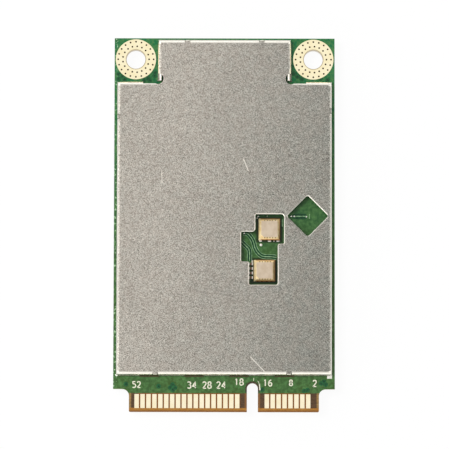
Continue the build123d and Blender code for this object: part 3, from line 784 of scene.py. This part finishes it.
# Tin on open dots, by centre and radius, and on long pads, by ends and width
tin_pad_height = 0.09
tin_dots = [
    ((4.57, 1.12), 0.13), ((4.46, 0.86), 0.09), ((2.71, -1.2), 0.12), ((4.99, -2.8), 0.21),
    ((5.83, 1.14), 0.07), ((9.12, 1.11), 0.12), ((9.5, 1.11), 0.12), ((11.16, 1.06), 0.1),
    ((-14.52, -20.5), 0.17),
]
tin_pads = [
    ([(4.72, -2.25), (5.14, -2.25)], 0.26),
    ([(5.9, -2.28), (6.4, -2.28)], 0.24),
    ([(6.66, -2.28), (6.86, -2.28)], 0.16),
    ([(7.08, -2.28), (7.58, -2.25)], 0.24),
    ([(3.8, -4.9), (3.8, -5.3)], 0.2),
]
tin = [drop(centre, radius, board_top, radius * 0.5) for centre, radius in tin_dots]
tin += [bar(straight_through(ends), width, board_top, tin_pad_height, dome=True) for ends, width in tin_pads]
make("tinned_pads", tin, solder, smooth=True)

# Rounded stubs of the carrier tabs, by the middle of each notch: two on the cover's sides, which
# run along Y, then two on its front and two on its back, which run along X
stub_reach = 0.36
stub_width = 0.3
stub_floor = cover_top - 0.5
stub_height = 0.38
side_notches = [(-14.42, 14.6), (14.42, 15.4)]
end_notches = [(-9.3, -20.37), (8.8, -20.37), (-5.05, 25.0), (5.05, 25.0)]
stub_lines = [[(x, y - stub_reach), (x, y + stub_reach)] for x, y in side_notches]
stub_lines += [[(x - stub_reach, y), (x + stub_reach, y)] for x, y in end_notches]
stubs = [bar(straight_through(ends), stub_width, stub_floor, stub_height, dome=True) for ends in stub_lines]
make("carrier_tab_stubs", stubs, upper_sheet, smooth=True)

# The tinned pad under the frame's corner, which shows past the cover at the right
corner_pad = block(13.95, 14.62, -20.95, -20.3, board_top, 0.05)
make("frame_corner_pad", [corner_pad], solder)

# Vias under the mask: a low round pad, and the plug in its middle, which stands a little higher
via_places = [
    (-13.27, -21.74), (-8.84, -22.01), (-6.94, -21.8), (-7.25, -22.2), (-6.62, -22.2), (-6.94, -22.5),
    (13.53, -21.35), (13.15, -21.6), (13.75, -21.75), (11.31, -22.5), (10.85, -22.62), (5.17, -22.45),
    (-14.43, 20.57), (-14.43, 19.87), (-13.63, 19.84), (-13.97, 20.28), (-9.51, 20.73), (-9.55, 20.3),
    (-10.45, 19.97), (-10.2, 19.7), (-10.96, 19.72), (9.52, 20.65), (9.93, 20.27), (10.5, 19.94),
    (14.06, 19.76), (13.08, 19.95),
]
via_pads = [drop(centre, 0.33, board_top, 0.012) for centre in via_places]
via_plugs = [drop(centre, 0.17, board_top, 0.022) for centre in via_places]
make("masked_via_pads", via_pads, mask_pad, smooth=True)
make("masked_via_plugs", via_plugs, mask_sunk, smooth=True)

# Resin plugs in the two rings of vias round each mounting hole
outer_vias, outer_inset = 20, 0.33
inner_vias, inner_radius = 17, 1.79
plug_radius = 0.14
plug_floor = level("ground_land_left", 1) - 0.01
land_plugs = []
for name in ground_lands:
    centre, half = middle_and_half(name)
    for count, radius in ((outer_vias, half.x - outer_inset), (inner_vias, inner_radius)):
        turns = 2 * math.pi * np.arange(count) / count
        places = np.stack([centre.x + radius * np.cos(turns), centre.y + radius * np.sin(turns)], axis=1)
        land_plugs += [drop(place, plug_radius, plug_floor, 0.02) for place in places]
make("land_via_plugs", land_plugs, resin, smooth=True)

# Dark strips in front of the gaps between the frame's feet: painted shade where the gaps open under the
# frame
foot_gaps = [(-11.45, -8.85), (-5.35, -2.75), (0.75, 3.35), (6.85, 9.45)]
strip_front, strip_back = cover_low - 0.24, cover_low + 0.1
strips = [block(*gap, strip_front, strip_back, board_top, 0.006) for gap in foot_gaps]
make("foot_gap_strips", strips, strip_shade)


# Floor, light and camera

def stage_floor():
    """A pale floor. The camera and reflections see it glow as the white ground does, with a small
    share of its lit surface, which keeps the object's shadow."""
    glow_share = 0.94
    reach = 1.5
    corners = [(-reach, -reach, 0), (reach, -reach, 0), (reach, reach, 0), (-reach, reach, 0)]
    mesh = bpy.data.meshes.new("floor")
    mesh.from_pydata(corners, [], [(0, 1, 2, 3)])
    floor = bpy.data.objects.new("floor", mesh)
    bpy.context.scene.collection.objects.link(floor)
    finish = Finish("floor_white", {"Roughness": 0.9})
    finish.feed("Base Color", finish.mix(finish.noise(0.05), "f6f6f6", "fafafa"))
    lit = Value(finish, finish.shader.outputs[0])
    glow = finish.node("ShaderNodeEmission", {}, {"Color": tone("ffffff"), "Strength": 1.0})
    blend = finish.node("ShaderNodeMixShader", {}, {0: finish.seen() * glow_share, 1: lit, 2: glow})
    finish.show(blend, "Material Output")
    mesh.materials.append(finish.material)


def lamp(name, place, size, radiance, in_reflections=True):
    """A soft box that faces the card. Its power is the radiance times pi times its area. One that
    is kept out of reflections lights a surface without showing on it as a patch."""
    light = bpy.data.lights.new(name, "AREA")
    light.shape = "RECTANGLE"
    light.size, light.size_y = size
    light.energy = radiance * math.pi * size[0] * size[1]
    box = bpy.data.objects.new(name, light)
    box.location = place
    box.rotation_euler = (-Vector(place)).to_track_quat("-Z", "Y").to_euler()
    box.visible_glossy = in_reflections
    bpy.context.scene.collection.objects.link(box)


def studio():
    """A dome that looks white and lights weakly, a strong soft box high on the left, a weak one
    above, and low ones all round for the metal's edges."""
    world = bpy.data.worlds.new("studio")
    world.use_nodes = True
    dome = Graph(world.node_tree)
    weak, white = (
        dome.node("ShaderNodeBackground", {}, {"Color": tone("ffffff"), "Strength": strength})
        for strength in (0.24, 1.0)
    )
    dome.show(dome.node("ShaderNodeMixShader", {}, {0: dome.seen(), 1: weak, 2: white}), "World Output")
    bpy.context.scene.world = world
    lamp("key_box", (-0.24, 0.09, 0.5), (0.17, 0.17), 17.0, in_reflections=False)
    lamp("left_box", (-0.34, 0.0, 0.13), (0.62, 0.24), 1.5)
    lamp("front_box", (-0.06, -0.36, 0.15), (0.4, 0.24), 1.15)
    lamp("right_box", (0.36, 0.0, 0.1), (0.34, 0.16), 1.5)
    lamp("back_box", (0.0, 0.4, 0.16), (0.5, 0.24), 1.15)
    lamp("top_box", (-0.02, 0.08, 0.62), (0.48, 0.38), 0.74, in_reflections=False)
    lamp("back_left_box", (-0.3, 0.3, 0.14), (0.24, 0.24), 1.5)
    lamp("front_left_box", (-0.3, -0.3, 0.14), (0.24, 0.24), 1.5)


def camera():
    """Looks almost straight down on the board's upper face, as the photograph does."""
    elevation, roll = math.radians(84.8), math.radians(0.12)
    distance, view_width, sensor = 0.470, 0.0610, 36.0
    target = Vector((0.03 * MM, -0.03 * MM, board_top * MM))
    data = bpy.data.cameras.new("camera")
    data.sensor_width = sensor
    data.lens = sensor * distance / view_width
    data.clip_start, data.clip_end = 0.01, 10.0
    eye = bpy.data.objects.new("camera", data)
    turn = Matrix.Rotation(math.pi / 2 - elevation, 4, "X") @ Matrix.Rotation(roll, 4, "Z")
    away = Vector((0, -math.cos(elevation), math.sin(elevation))) * distance
    eye.matrix_world = Matrix.Translation(target + away) @ turn
    bpy.context.scene.collection.objects.link(eye)
    bpy.context.scene.camera = eye


stage_floor()
studio()
camera()
bpy.context.scene.view_settings.view_transform = "Standard"
